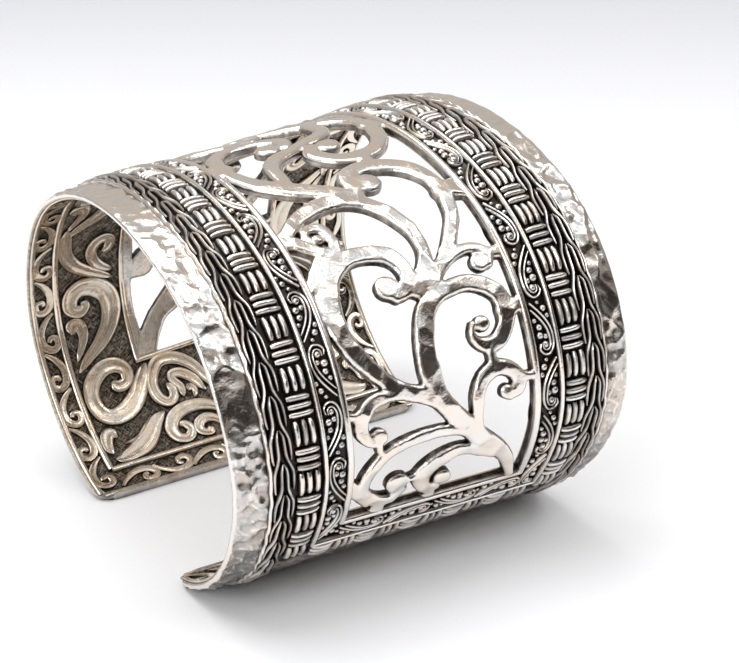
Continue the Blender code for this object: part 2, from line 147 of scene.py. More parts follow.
def silver(name, bright, dark, sheen, rough, grain, dent, patina=0.5, hatch=0.0, crevice=1.5):
    """Silver with dark oxide left where the polishing wheel doesn't reach.

    Sheen and rough are its roughness where bright and where dark. Grain is the strength of its fine
    scratches, dent of its shallow dents, patina of its mottling, hatch of crossed tool cuts where it
    is unpolished, and crevice of the dark in its crevices.
    """
    material = bpy.data.materials.new(name)
    material.use_nodes = True
    nodes, links = material.node_tree.nodes, material.node_tree.links
    shader = nodes["Principled BSDF"]
    shader.inputs["Metallic"].default_value = 1.0

    def node(kind, **settings):
        made = nodes.new(kind)
        for key, value in settings.items():
            setattr(made, key, value)
        return made

    def sum_of(first, second, operation="ADD", clamp=False):
        made = node("ShaderNodeMath", operation=operation, use_clamp=clamp)
        for socket, value in zip(made.inputs, (first, second)):
            if isinstance(value, (int, float)):
                socket.default_value = value
            else:
                links.new(value, socket)
        return made.outputs[0]

    place = node("ShaderNodeTexCoord").outputs["Object"]

    def noise(scale, detail, where=place):
        made = node("ShaderNodeTexNoise")
        made.inputs["Scale"].default_value = scale
        made.inputs["Detail"].default_value = detail
        links.new(where, made.inputs["Vector"])
        return made.outputs["Fac"]

    polish = node("ShaderNodeAttribute", attribute_name="polish")
    shelter = node("ShaderNodeAmbientOcclusion", samples=6)
    shelter.inputs["Distance"].default_value = CREVICE_REACH
    mottle = noise(MOTTLE_SCALE, 4.0)
    open_share = sum_of(shelter.outputs["AO"], crevice, "POWER")
    reach = sum_of(polish.outputs["Fac"], open_share, "MULTIPLY")
    reach = sum_of(reach, node("ShaderNodeAttribute", attribute_name="crown_lightening").outputs["Fac"])
    reach = sum_of(reach, sum_of(sum_of(mottle, 0.5, "SUBTRACT"), patina, "MULTIPLY"), "ADD", True)
    if hatch:
        flat = node("ShaderNodeAttribute", attribute_name="flat")
        cuts = []
        for turn in HATCH_TURNS:
            turned = node("ShaderNodeMapping", vector_type="TEXTURE")
            turned.inputs["Rotation"].default_value = (0.0, 0.0, turn)
            turned.inputs["Scale"].default_value = HATCH_SIZE
            links.new(flat.outputs["Vector"], turned.inputs["Vector"])
            cuts.append(noise(1.0, 2.0, turned.outputs["Vector"]))
        unpolished = sum_of(1.0, polish.outputs["Fac"], "SUBTRACT", True)
        deeper = sum_of(sum_of(cuts[0], cuts[1], "MAXIMUM"), 0.5, "SUBTRACT")
        crossed = sum_of(deeper, HATCH_CONTRAST, "MULTIPLY", True)
        cut_depth = sum_of(crossed, unpolished, "MULTIPLY")
        brightening = sum_of(sum_of(cut_depth, HATCH_MEAN, "SUBTRACT"), hatch, "MULTIPLY")
        reach = sum_of(reach, brightening, "ADD", True)

    between = [HALF_BRIGHT * high + (1.0 - HALF_BRIGHT) * low for high, low in zip(bright, dark)]
    colour = shades(nodes, (dark, DARK_UP_TO), (between, HALF_BRIGHT_AT), (bright, BRIGHT_FROM))
    links.new(reach, colour.inputs["Fac"])
    tints = shades(nodes, (COLD_TINT, 0.36), (WARM_TINT, 0.62))
    links.new(noise(TINT_SCALE, 3.0), tints.inputs["Fac"])
    tinted = node("ShaderNodeMix", data_type="RGBA", blend_type="MULTIPLY")
    tinted.inputs["Factor"].default_value = TINT_SHARE
    links.new(colour.outputs["Color"], tinted.inputs["A"])
    links.new(tints.outputs["Color"], tinted.inputs["B"])
    links.new(tinted.outputs["Result"], shader.inputs["Base Color"])

    roughness = node("ShaderNodeMapRange")
    roughness.inputs["To Min"].default_value = rough
    roughness.inputs["To Max"].default_value = sheen
    links.new(reach, roughness.inputs["Value"])
    blotch = sum_of(sum_of(noise(BLOTCH_SCALE, 3.0), 0.5, "SUBTRACT"), BLOTCH_ROUGHNESS, "MULTIPLY")
    links.new(sum_of(roughness.outputs["Result"], blotch, "ADD", True), shader.inputs["Roughness"])

    marks = [(DENT_DEPTH, dent, noise(DENT_SCALE, 2.0)), (SCRATCH_DEPTH, grain, noise(SCRATCH_SCALE, 5.0))]
    if hatch:
        marks.append((HATCH_DEPTH, hatch, cut_depth))
    surface = None
    for depth, strength, height in marks:
        bump = node("ShaderNodeBump")
        bump.inputs["Distance"].default_value = depth
        bump.inputs["Strength"].default_value = strength
        links.new(height, bump.inputs["Height"])
        if surface:
            links.new(surface, bump.inputs["Normal"])
        surface = bump.outputs["Normal"]
    links.new(surface, shader.inputs["Normal"])
    return material


OXIDE = (0.045, 0.038, 0.033)
hammered_silver = silver("hammered_silver", (0.83, 0.785, 0.74), OXIDE, sheen=0.15, rough=0.42,
                         grain=0.8, dent=0.2, patina=0.3)

# The blows of the hammer: how far apart they fall, the radius of its ball, and the seed of their
# places, for the heavy blows and for the small ones between them.
HEAVY_BLOWS = {"pitch": 1.6, "ball": 3.3, "seed": 11}
SMALL_BLOWS = {"pitch": 0.8, "ball": 2.4, "seed": 12}
HEAVY_MEAN, SMALL_MEAN = 0.12, 0.04
BLOW_ROWS, BLOW_STRETCH, BLOW_DEPTH = (40, 120), 1.2, 0.12
PATTERN_START = (60.0, 90.0)


def hammer_marks(across, along, pitch, ball, seed):
    """Level of a face struck all over with a round hammer, and how far each place is from a ridge."""
    across, along = across + PATTERN_START[0], along + PATTERN_START[1]
    chance = np.random.default_rng(seed).random((*BLOW_ROWS, 5))
    column, row = np.floor(across / pitch).astype(int), np.floor(along / pitch / BLOW_STRETCH).astype(int)
    level = np.full(across.shape, 1e9)
    second = np.full(across.shape, 1e9)
    for column_step, row_step in np.ndindex(5, 5):
        i, j = column + column_step - 2, row + row_step - 2
        blow = chance[i % BLOW_ROWS[0], j % BLOW_ROWS[1]]
        dx = across - (i + blow[..., 0]) * pitch
        dy = along - (j + blow[..., 1]) * pitch * BLOW_STRETCH
        turn = blow[..., 2] * math.pi
        long_way = (dx * np.cos(turn) + dy * np.sin(turn)) * (0.7 + 0.3 * blow[..., 3])
        short_way = dy * np.cos(turn) - dx * np.sin(turn)
        hollow = (long_way ** 2 + short_way ** 2) / (2.0 * ball) + BLOW_DEPTH * pitch * blow[..., 4]
        second = np.where(hollow < level, level, np.minimum(second, hollow))
        level = np.minimum(level, hollow)
    return level, second - level


def changing(value, changes, place):
    """A value that rises or falls by each amount between two places; changes are amount, start, end."""
    for amount, start, end in changes:
        value = value + amount * smooth(start, end, place)
    return value


def spread(*stops):
    """Even steps between stops, given as (start, end, step)."""
    lines = [np.linspace(start, end, max(1, round((end - start) / step)), endpoint=False)
             for start, end, step in stops]
    return np.append(np.concatenate(lines), stops[-1][1])


# The plan of the sheet: the bands stand between BAND_START and BAND_END on both sides of the window,
# and everything soldered on is shifted and skewed a little, as the hand left it.
BAND_START, BAND_END = 11.5, 21.7
WINDOW_HALF_LENGTH = HALF_LENGTH - 21.2
END_BAND = 7.2
BRAID_START, BRAID_STOP = 18.5, 2.4
PATTERN_OFFSET, PATTERN_SKEW = 0.5, 0.04
SKEW_FADE_START, SKEW_FADE_STOP = 60.0, 4.0
CORNER_RADIUS = 2.8
RIM_STRIP = 0.5
COARSE_STEP, FLANGE_STEP, ROW_STEP, RIM_STEP = 0.9, 0.2, 0.28, 0.12
half_columns = spread((0.0, BAND_START, COARSE_STEP), (BAND_START, BAND_END, COARSE_STEP),
                      (BAND_END, HALF_WIDTH - RIM_STRIP, FLANGE_STEP),
                      (HALF_WIDTH - RIM_STRIP, HALF_WIDTH, RIM_STEP))
half_rows = spread((0.0, WINDOW_HALF_LENGTH, ROW_STEP),
                   (WINDOW_HALF_LENGTH, HALF_LENGTH - RIM_STRIP, ROW_STEP),
                   (HALF_LENGTH - RIM_STRIP, HALF_LENGTH, RIM_STEP))
columns = np.concatenate((-half_columns[:0:-1], half_columns))
rows = np.concatenate((-half_rows[:0:-1], half_rows))
sheet_u, sheet_l = np.meshgrid(columns, rows, indexing="ij")
corner_u = np.clip((np.abs(sheet_u) - HALF_WIDTH + CORNER_RADIUS) / CORNER_RADIUS, 0.0, 1.0)
corner_l = np.clip((np.abs(sheet_l) - HALF_LENGTH + CORNER_RADIUS) / CORNER_RADIUS, 0.0, 1.0)
pull_u = corner_u * (1.0 - np.sqrt(1.0 - corner_l ** 2 / 2.0)) * CORNER_RADIUS
pull_l = corner_l * (1.0 - np.sqrt(1.0 - corner_u ** 2 / 2.0)) * CORNER_RADIUS
rim = np.minimum(HALF_WIDTH - np.abs(sheet_u), HALF_LENGTH - np.abs(sheet_l))
across_shift = PATTERN_OFFSET * (1.0 - smooth(BAND_END, HALF_WIDTH - RIM_STRIP, np.abs(sheet_u)))
skew_fade = smooth(SKEW_FADE_START, HALF_LENGTH - SKEW_FADE_STOP, np.abs(sheet_l))
along_shift = PATTERN_SKEW * sheet_u * (1.0 - skew_fade)
sheet_across = sheet_u + across_shift - np.sign(sheet_u) * pull_u
sheet_along = sheet_l + along_shift - np.sign(sheet_l) * pull_l

# The hammered face: struck hard on the sides, lightly at the bend, and closely near the ends. Near the ends
# it is rougher, and drawn darker as a painted shade for the shadowed table it mirrors, with its ridge lines
# drawn bright as a painted highlight; at the middle the ridge lines are drawn a little darker. The rubbed rim
# is bright all round.
FORCE = (0.7, ((0.5, 8.0, 14.0), (0.3, 12.0, 18.0), (-0.8, 30.5, 33.0), (0.6, 36.5, 39.0)))
SMALL_SHARE = (0.7, ((1.3, 37.0, 41.0),))
# The ridge lines between dents: drawn a little darker at the middle, and brighter near the ends, where the
# brightness is a painted highlight.
RIDGE_DARKENING_AND_GLINT = (0.2, ((-0.5, 36.0, 40.0),))
# Near the ends the face is rougher and drawn darker; the darkening is painted shade for the shadowed table it
# mirrors.
DULL_AND_SHADED_ENDS = ((-0.42, 35.0, 41.0), (-0.24, 50.0, 58.0))
RIDGE_WIDTH = 0.035
BAND_FLOOR = 1.0
FACE_LEVEL = WALL - 0.15
LINING_GROUND = 0.42
RIM_ROUND = 0.15
LINING_RIM = 0.9
EDGE_THINNING = 0.15
RIM_POLISH, GROUND_POLISH = 0.55, 0.3
from_middle = np.abs(sheet_along)
across_band = np.abs(sheet_u) < BAND_END - 0.05
beside_window = np.abs(sheet_l) < WINDOW_HALF_LENGTH + END_BAND
beside_braid = (np.abs(sheet_u) > BRAID_START) & (np.abs(sheet_l) < HALF_LENGTH - BRAID_STOP)
inside_bands = across_band & (beside_window | beside_braid)
level, ridge = hammer_marks(sheet_across, sheet_along, **HEAVY_BLOWS)
small_level = hammer_marks(sheet_across, sheet_along, **SMALL_BLOWS)[0]
small_share = changing(*SMALL_SHARE, from_middle)
struck = level - HEAVY_MEAN + small_share * (small_level - SMALL_MEAN)
dents = changing(*FORCE, from_middle) * struck * (0.3 + 0.7 * smooth(0.0, 0.8, rim))
toward_edge = np.clip((np.abs(sheet_u) - BAND_END) / (HALF_WIDTH - BAND_END), 0.0, 1.0)
face = FACE_LEVEL + dents - EDGE_THINNING * toward_edge
rim_drop = RIM_ROUND - np.sqrt(np.maximum(RIM_ROUND ** 2 - np.maximum(RIM_ROUND - rim, 0.0) ** 2, 0.0))
top = np.where(inside_bands, BAND_FLOOR, face - 0.75 * rim_drop)
bottom = np.where(rim < LINING_RIM, LINING_GROUND * toward_edge ** 3 + 0.6 * rim_drop, LINING_GROUND)
# The face's polish carries the painted highlight on the ridges and the painted shade at the ends.
face_polish_and_painted_light = 1.0 - changing(*RIDGE_DARKENING_AND_GLINT, from_middle) * smooth(RIDGE_WIDTH, 0.0, ridge)
face_polish_and_painted_light = np.where(inside_bands, 0.0, changing(face_polish_and_painted_light, DULL_AND_SHADED_ENDS, from_middle))
face_polish_and_painted_light = np.maximum(face_polish_and_painted_light, smooth(0.35, 0.12, rim))
lining_polish = np.where(rim < LINING_RIM, RIM_POLISH, GROUND_POLISH)
window = (np.abs(sheet_u) < BAND_START - 0.001) & (np.abs(sheet_l) < WINDOW_HALF_LENGTH - 0.001)


def shell(keep, top_places, bottom_places):
    """Faces of a closed shell between two grids of points, over the cells that are kept."""
    count = top_places.shape[0] * top_places.shape[1]
    index = np.arange(count).reshape(top_places.shape[:2])
    i, j = np.nonzero(keep)
    quads = np.stack((index[i, j], index[i + 1, j], index[i + 1, j + 1], index[i, j + 1]), axis=1)
    faces = [quads, quads[:, ::-1] + count]
    padded = np.pad(keep, 1)
    wide, long = keep.shape
    for step_i, step_j, start, end in ((-1, 0, (0, 1), (0, 0)), (1, 0, (1, 0), (1, 1)),
                                       (0, -1, (0, 0), (1, 0)), (0, 1, (1, 1), (0, 1))):
        open_side = keep & ~padded[1 + step_i:1 + step_i + wide, 1 + step_j:1 + step_j + long]
        i, j = np.nonzero(open_side)
        first, last = index[i + start[0], j + start[1]], index[i + end[0], j + end[1]]
        faces.append(np.stack((last, first, first + count, last + count), axis=1))
    return np.concatenate(faces)


def without_loose(places, faces, polish):
    """The same mesh without the points that no face uses."""
    used = np.unique(faces)
    renumbered = np.full(len(places), -1)
    renumbered[used] = np.arange(len(used))
    return places[used], renumbered[faces], polish[used]


cell_in_window = window[:-1, :-1] | window[1:, 1:] | window[1:, :-1] | window[:-1, 1:]
top_places = np.stack((sheet_across, sheet_along, top), axis=2)
bottom_places = np.stack((sheet_across, sheet_along, bottom), axis=2)
sheet_faces = shell(~cell_in_window, top_places, bottom_places)
sheet_places = np.concatenate((top_places.reshape(-1, 3), bottom_places.reshape(-1, 3)))
sheet_polish_and_painted_light = np.concatenate((face_polish_and_painted_light.ravel(), lining_polish.ravel()))
sheet = make_piece("hammered_sheet", *without_loose(sheet_places, sheet_faces, sheet_polish_and_painted_light), hammered_silver)
LINING_SILVER, LINING_OXIDE = (0.88, 0.785, 0.67), (0.035, 0.028, 0.020)
matted_silver = silver("matted_silver", LINING_SILVER, LINING_OXIDE, sheen=0.3, rough=0.5, grain=0.5,
                       dent=0.6, patina=0.3, hatch=0.6, crevice=2.0)
sheet.data.materials.append(matted_silver)
face_count = np.count_nonzero(~cell_in_window)
for wrist_face in sheet.data.polygons[face_count:2 * face_count]:
    wrist_face.material_index = 1

# The scrollwork: pierced from heavy silver, its edges filed round, and burnished bright. Its vine
# grows from two opposite corners of the window. One half is the other half turned by half a turn.
# A knot gives across in hundredths and along in thousandths of the half window, and the half width
# in hundredths of the stroke's.
KNOT_UNITS = (100.0, 1000.0, 100.0)
STROKE_HALF_WIDTH = 1.2
SCROLLWORK = {
    "stem": [(88, 1000, 42), (78, 944, 75), (61, 901, 96), (39, 859, 100), (22, 821, 104), (6, 780, 96),
        (-6, 739, 104), (-9, 693, 104)],
    "great_scroll": [(-8, 723, 104), (-10, 686, 104), (-9, 645, 100), (-4, 608, 104), (4, 572, 100),
        (19, 547, 88), (36, 538, 83), (53, 535, 83), (70, 548, 88), (83, 575, 92), (85, 610, 92),
        (80, 643, 83), (69, 666, 83), (56, 669, 79), (46, 657, 54), (43, 639, 38), (46, 622, 33)],
    "branch": [(1, 766, 67), (-18, 740, 83), (-41, 718, 83), (-59, 685, 79), (-74, 642, 88), (-85, 597, 96),
        (-89, 551, 104), (-87, 505, 113), (-80, 463, 117), (-66, 433, 117), (-48, 420, 100), (-29, 422, 96),
        (-12, 437, 96), (-3, 464, 88), (-2, 496, 83), (-9, 520, 83), (-20, 530, 67)],
    "branch_leaf": [(-100, 476, 42), (-86, 442, 83), (-70, 411, 100), (-58, 399, 75)],
    "hook": [(-60, 407, 75), (-54, 380, 62), (-53, 353, 54), (-57, 329, 67), (-67, 322, 62), (-76, 338, 42),
        (-74, 358, 38)],
    "hook_stub": [(-102, 338, 92), (-88, 356, 83), (-74, 386, 67), (-62, 407, 58)],
    "foot_scroll": [(25, 838, 50), (3, 825, 62), (-25, 823, 62), (-52, 833, 62), (-72, 857, 67),
        (-84, 889, 71), (-87, 924, 71), (-79, 953, 75), (-65, 971, 75), (-51, 969, 62), (-41, 954, 50)],
    "foot_leaf": [(-102, 893, 42), (-97, 916, 67), (-88, 943, 67), (-81, 968, 42)],
    "foot_curl": [(60, 919, 42), (39, 895, 62), (22, 882, 71), (6, 883, 75), (-10, 898, 92), (-21, 924, 104),
        (-19, 954, 83), (-11, 973, 67), (-1, 976, 58)],
    "left_curl": [(-41, 725, 58), (-59, 721, 67), (-75, 728, 71), (-86, 751, 75), (-89, 781, 71),
        (-83, 804, 58), (-76, 813, 42)],
    "right_curl": [(38, 840, 42), (36, 798, 62), (38, 763, 71), (47, 733, 79), (61, 719, 83), (75, 727, 79),
        (84, 748, 75), (83, 772, 71), (74, 782, 50)],
    "right_bud": [(17, 531, 67), (30, 497, 79), (48, 475, 62), (65, 464, 58), (80, 468, 58), (89, 486, 50),
        (85, 508, 42)],
    "arch": [(3, 523, 100), (17, 494, 92), (26, 451, 71), (27, 403, 71), (21, 359, 79), (12, 319, 83),
        (1, 287, 92), (-15, 266, 96), (-33, 259, 100), (-52, 268, 96), (-72, 288, 83), (-88, 317, 75),
        (-102, 336, 75)],
    "tall_scroll": [(41, 475, 58), (53, 449, 75), (63, 418, 75), (73, 384, 75), (79, 343, 79), (82, 302, 83),
        (81, 258, 88), (72, 219, 96), (58, 190, 100), (41, 173, 104), (24, 171, 100), (10, 185, 104),
        (4, 210, 92), (7, 237, 83)],
    "heart": [(-1, 265, 75), (-17, 237, 100), (-36, 209, 108), (-57, 178, 113), (-76, 139, 104),
        (-87, 90, 92), (-90, 35, 83), (-86, -20, 88), (-77, -71, 92), (-60, -109, 92), (-38, -122, 100),
        (-20, -114, 100), (-8, -91, 96), (-3, -59, 92), (-9, -25, 75)],
    "link": [(-53, 170, 67), (-51, 126, 79), (-48, 81, 83), (-39, 48, 92), (-24, 26, 92), (-10, 12, 83),
        (0, 0, 75)],
    "tie_heart": [(-88, 24, 100), (-103, 24, 180)],
    "tie_branch": [(-88, 520, 100), (-103, 522, 150)],
    "tie_left_curl": [(-87, 750, 50), (-103, 744, 42)],
    "tie_great": [(84, 608, 90), (103, 602, 70)],
    "tie_curls": [(59, 675, 50), (59, 712, 50)],
    "tie_right_curl": [(84, 750, 60), (103, 752, 40)],
    "tie_bud": [(85, 484, 58), (103, 487, 67)],
    "tie_tall": [(81, 305, 90), (103, 308, 140)],
    "tie_tall_top": [(41, 180, 75), (41, 120, 75)],
    "tie_tall_end": [(6, 225, 75), (0, 268, 75)],
    "tie_foot": [(-65, 972, 67), (-65, 1012, 83)],
    "tie_foot_curl": [(-6, 976, 58), (-6, 1012, 75)],
    "tie_bulbs": [(-40, 927, 33), (-20, 922, 42)],
    "tie_left_foot": [(-72, 800, 33), (-72, 832, 33)],
}
BULBS = {"great_scroll": (56, 625, 79), "branch": (-26, 507, 121), "hook": (-66, 357, 62),
         "foot_scroll": (-49, 930, 121), "foot_curl": (3, 948, 92), "left_curl": (-72, 800, 83),
         "right_curl": (70, 773, 75), "right_bud": (76, 500, 96), "tall_scroll": (20, 229, 138),
         "heart": (-26, -33, 133)}
# On the back half the vine is cut broader where it leaves the window's corner and its side.
BACK_PLATES = [
    [(96, 1010, 150), (80, 955, 125), (64, 910, 110)],
    [(103, 1000, 150), (104, 930, 130), (105, 860, 120), (104, 780, 120)],
    [(102, 755, 110), (86, 765, 115), (70, 755, 110), (55, 735, 90)],
    [(99, 800, 50), (98, 700, 90), (100, 600, 40)],
]


def smooth_line(knots, parts):
    """A smooth line through rows of numbers, with so many parts between each two of them."""
    knots = np.asarray(knots, float)
    rows = np.vstack((2 * knots[0] - knots[1], knots, 2 * knots[-1] - knots[-2]))
    t = np.arange(parts)[:, None] / parts
    line = [0.5 * (2 * b + (c - a) * t + (2 * a - 5 * b + 4 * c - d) * t ** 2
                   + (3 * b - a - 3 * c + d) * t ** 3)
            for a, b, c, d in zip(rows, rows[1:], rows[2:], rows[3:])]
    return np.vstack((*line, knots[-1]))


# The strokes are drawn on a fine lattice over the window. Where two of them meet, and where one meets
# the sheet, the corner is filled with a small round.
CELL, MARGIN = 0.19, 0.55
CORNER_FILL = 0.13
STROKE_REACH = 3.5
DOME_POWER = 7.0
LEAST_GAP = 0.18
HALF_TURN = np.array([-1.0, -1.0, 1.0])
window_size = np.array([BAND_START, WINDOW_HALF_LENGTH, STROKE_HALF_WIDTH])


def lattice_line(half):
    """The lattice's steps from side to side of the window and a margin beyond it."""
    return np.arange(-half - MARGIN - CELL, half + MARGIN + 2 * CELL, CELL)


def drawn(knots):
    """A stroke in millimetres, from its knots."""
    return smooth_line(np.array(knots) / KNOT_UNITS * window_size, 5)


def pull(gap):
    """How strongly a stroke's edge at this distance draws the outline to itself."""
    return np.exp(np.clip(-gap / CORNER_FILL, -60.0, 60.0))


lattice_u, lattice_l = np.meshgrid(lattice_line(BAND_START), lattice_line(WINDOW_HALF_LENGTH), indexing="ij")
solder_lines = [drawn(knots) for knots in SCROLLWORK.values()]
solder_lines += [np.array([bulb, bulb]) / KNOT_UNITS * window_size + [[0.0, 0.0, 0.0], [0.01, 0.0, 0.0]]
                 for bulb in BULBS.values()]
strokes = [stroke for line in solder_lines for stroke in (line, line * HALF_TURN)]
strokes += [drawn(knots) * HALF_TURN for knots in BACK_PLATES]
pull_sum = np.zeros(lattice_u.shape)
dome_sum = np.zeros(lattice_u.shape)
for stroke in strokes:
    low, high = stroke[:, :2].min(axis=0) - STROKE_REACH, stroke[:, :2].max(axis=0) + STROKE_REACH
    part = np.ix_((lattice_u[:, 0] > low[0]) & (lattice_u[:, 0] < high[0]),
                  (lattice_l[0] > low[1]) & (lattice_l[0] < high[1]))
    u, l = lattice_u[part], lattice_l[part]
    gap = np.full(u.shape, 1e9)
    share = np.full(u.shape, 1e9)
    for (au, al, aw), (bu, bl, bw) in zip(stroke, stroke[1:]):
        run = np.array([bu - au, bl - al])
        t = np.clip(((u - au) * run[0] + (l - al) * run[1]) / (run @ run), 0.0, 1.0)
        reach = np.hypot(u - au - t * run[0], l - al - t * run[1])
        width = aw + t * (bw - aw)
        gap = np.minimum(gap, reach - width)
        share = np.minimum(share, reach / width)
    pull_sum[part] += pull(gap)
    plump = 0.72 + 0.28 * min(1.0, stroke[:, 2].mean() / STROKE_HALF_WIDTH)
    dome_sum[part] += (plump * np.sqrt(np.maximum(1.0 - share ** 2, 0.0))) ** DOME_POWER
frame_gap = -np.maximum(np.abs(lattice_u) - BAND_START, np.abs(lattice_l) - WINDOW_HALF_LENGTH)
pull_sum += pull(frame_gap)
edge_limit = np.maximum(np.abs(lattice_u) - BAND_START - MARGIN,
                        np.abs(lattice_l) - WINDOW_HALF_LENGTH - MARGIN)
outline = np.maximum(-CORNER_FILL * np.log(pull_sum + 1e-30), edge_limit)
outline = np.where(np.abs(outline) < LEAST_GAP * CELL,
                   np.where(outline < 0.0, -LEAST_GAP, LEAST_GAP) * CELL, outline)
dome = np.where(frame_gap < 0.0, 0.5, np.minimum(dome_sum ** (1.0 / DOME_POWER), 1.0))


def cut_out(gap, values):
    """The part of a lattice where gap is negative: corner values, and faces as lists of corners."""
    inside = gap < 0.0
    number = {}
    corners = []

    def grid_corner(place):
        if place not in number:
            number[place] = len(corners)
            corners.append([value[place] for value in values])
        return number[place]

    def edge_corner(here, there):
        near, far = min(here, there), max(here, there)
        if (near, far) not in number:
            share = gap[near] / (gap[near] - gap[far])
            number[near, far] = len(corners)
            corners.append([value[near] * (1 - share) + value[far] * share for value in values])
        return number[near, far]

    faces, rim_edges = [], []
    any_inside = inside[:-1, :-1] | inside[1:, :-1] | inside[1:, 1:] | inside[:-1, 1:]
    for i, j in zip(*np.nonzero(any_inside)):
        ring = ((i, j), (i + 1, j), (i + 1, j + 1), (i, j + 1))
        face, crossings = [], []
        for here, after in zip(ring, ring[1:] + ring[:1]):
            if inside[here]:
                face.append(grid_corner(here))
            if inside[here] != inside[after]:
                face.append(edge_corner(here, after))
                crossings.append((len(face) - 1, inside[here]))
        faces.append(face)
        rim_edges += [(face[at], face[(at + 1) % len(face)]) for at, leaving in crossings if leaving]
    return np.array(corners), faces, rim_edges


# Each stroke is flat on top with rounded shoulders, filed and lightly hammered, more so on the sides.
STROKE_EDGE_TOP, STROKE_EDGE_FOOT, STROKE_RISE, FOOT_RISE = 0.98, 0.36, 0.40, 0.30
SHOULDER, FLAT_SHARE, DOME_SHARE = 0.42, 0.72, 0.28
FILE_MARKS = {"pitch": 2.0, "ball": 5.2, "seed": 21}
corners, faces, rim_edges = cut_out(outline, (lattice_u, lattice_l, dome, -outline))
flat_u, flat_l, bulge, depth = corners.T
on_rim = np.zeros(len(corners), bool)
on_rim[np.unique(np.array(rim_edges))] = True
flat_top = 1.0 - np.clip(1.0 - depth / SHOULDER, 0.0, 1.0) ** 2
bulge = np.where(on_rim, 0.0, FLAT_SHARE * flat_top + DOME_SHARE * bulge)
filed = 0.8 * (hammer_marks(flat_u, flat_l, **FILE_MARKS)[0] - HEAVY_MEAN)
filed *= 0.25 + 0.75 * smooth(8.0, 22.0, np.abs(flat_l))
top_height = STROKE_EDGE_TOP + STROKE_RISE * bulge + np.where(on_rim, 0.0, filed)
foot_height = STROKE_EDGE_FOOT - FOOT_RISE * bulge
scroll_across = flat_u + PATTERN_OFFSET
scroll_along = flat_l + PATTERN_SKEW * flat_u
count = len(corners)
scroll_places = np.concatenate((np.stack((scroll_across, scroll_along, top_height), axis=1),
                                np.stack((scroll_across, scroll_along, foot_height), axis=1)))
scroll_faces = faces + [[corner + count for corner in reversed(face)] for face in faces]
scroll_faces += [[last, first, first + count, last + count] for first, last in rim_edges]
scroll_polish = np.concatenate((0.18 + 0.82 * smooth(0.0, 0.45, bulge),
                                0.12 + 0.6 * smooth(0.0, 0.6, bulge)))
burnished_silver = silver("burnished_silver", (0.85, 0.795, 0.74), OXIDE, sheen=0.19, rough=0.42,
                          grain=0.8, dent=0.85, patina=0.6)
make_piece("scrollwork", scroll_places, scroll_faces, scroll_polish, burnished_silver)


# The framing wires: round wire soldered round the window, once against the scrollwork and once
# outside the grains, and a thinner wire beside each hammered margin. The lower half of a wire is sunk
# in solder, so only the upper half is made.
CREASE_POLISH = 0.12


def round_profile(sides, flatness):
    """The upper half of a wire, from side to side: swing, climb and polish."""
    profile = []
    for turn in np.linspace(0.0, math.pi, sides + 1):
        climb = max(0.0, math.sin(turn))
        profile.append((math.cos(turn), climb ** flatness, CREASE_POLISH + 0.88 * climb ** 0.5))
    return profile


THIN_WIRE = round_profile(6, 0.7)
THICK_WIRE = round_profile(8, 0.6)


class Heap:
    """Wires and grains laid on the flat sheet, gathered into one piece."""

    def __init__(self):
        self.places, self.faces, self.polish, self.count = [], [], [], 0

    def skin(self, rings, polish):
        """A closed skin over rings of points, set one after another."""
        count, ring = rings.shape[:2]
        start = self.count + np.arange(count - 1)[:, None] * ring
        side = np.arange(ring)[None, :]
        after = (side + 1) % ring
        quads = np.stack((start + side, start + after, start + ring + after, start + ring + side), axis=2)
        self.faces += quads.reshape(-1, 4).tolist()
        self.faces.append(list(range(self.count, self.count + ring))[::-1])
        self.count += count * ring
        self.faces.append(list(range(self.count - ring, self.count)))
        self.places.append(rings.reshape(-1, 3))
        self.polish.append(polish)

    def wire(self, line, foot, rise, profile=THIN_WIRE, shine=1.0):
        """A wire along rows of across, along and half width, rising from the foot level."""
        path, half = line[:, :2], line[:, 2]
        lift = np.broadcast_to(rise, half.shape)
        swing, climb, sheen = np.array(profile).T
        ahead = np.gradient(path, axis=0)
        ahead /= np.linalg.norm(ahead, axis=1)[:, None] + 1e-9
        normal = np.stack((-ahead[:, 1], ahead[:, 0]), axis=1)
        rings = np.empty((len(line), len(swing), 3))
        sideways = half[:, None] * swing[None, :]
        rings[:, :, :2] = path[:, None, :] + normal[:, None, :] * sideways[:, :, None]
        rings[:, :, 2] = foot + lift[:, None] * climb[None, :]
        self.skin(rings, shine * np.tile(sheen, len(line)))

    def grain(self, across, along, radius, foot, sides=10, rings=5):
        """A round grain of silver, fused a little into what it sits on."""
        turns = np.linspace(0.0, math.tau, sides, endpoint=False)
        places, polish = [], []
        for tilt in np.linspace(-0.45, 1.35, rings) * math.pi / 2.7:
            reach, rise = radius * math.cos(tilt), radius * math.sin(tilt)
            places.append(np.stack((across + reach * np.cos(turns), along + reach * np.sin(turns),
                                    np.full(sides, foot + 0.45 * radius + rise)), axis=1))
            polish.append(np.full(sides, max(0.0, math.sin(tilt)) ** 0.5))
        self.skin(np.array(places), np.concatenate(polish))

    def piece(self, name, material):
        make_piece(name, np.concatenate(self.places), self.faces, np.concatenate(self.polish), material)


def on_pattern(line):
    """Places read in the window's own axes, moved to where the window sits on the sheet."""
    line = np.array(line, float)
    line[:, 0], line[:, 1] = line[:, 0] + PATTERN_OFFSET, line[:, 1] + PATTERN_SKEW * line[:, 0]
    return line


def lengthwise(across, reach, half, step=0.7):
    """A line along the cuff, at one place across it, with points a step apart."""
    count = max(2, int(2.0 * reach / step))
    return np.stack((np.full(count, across), np.linspace(-reach, reach, count), np.full(count, half)), axis=1)


def crosswise(along, reach, half):
    """A line across the cuff, from side to side, at one place along it."""
    return lengthwise(along, reach, half)[:, (1, 0, 2)]


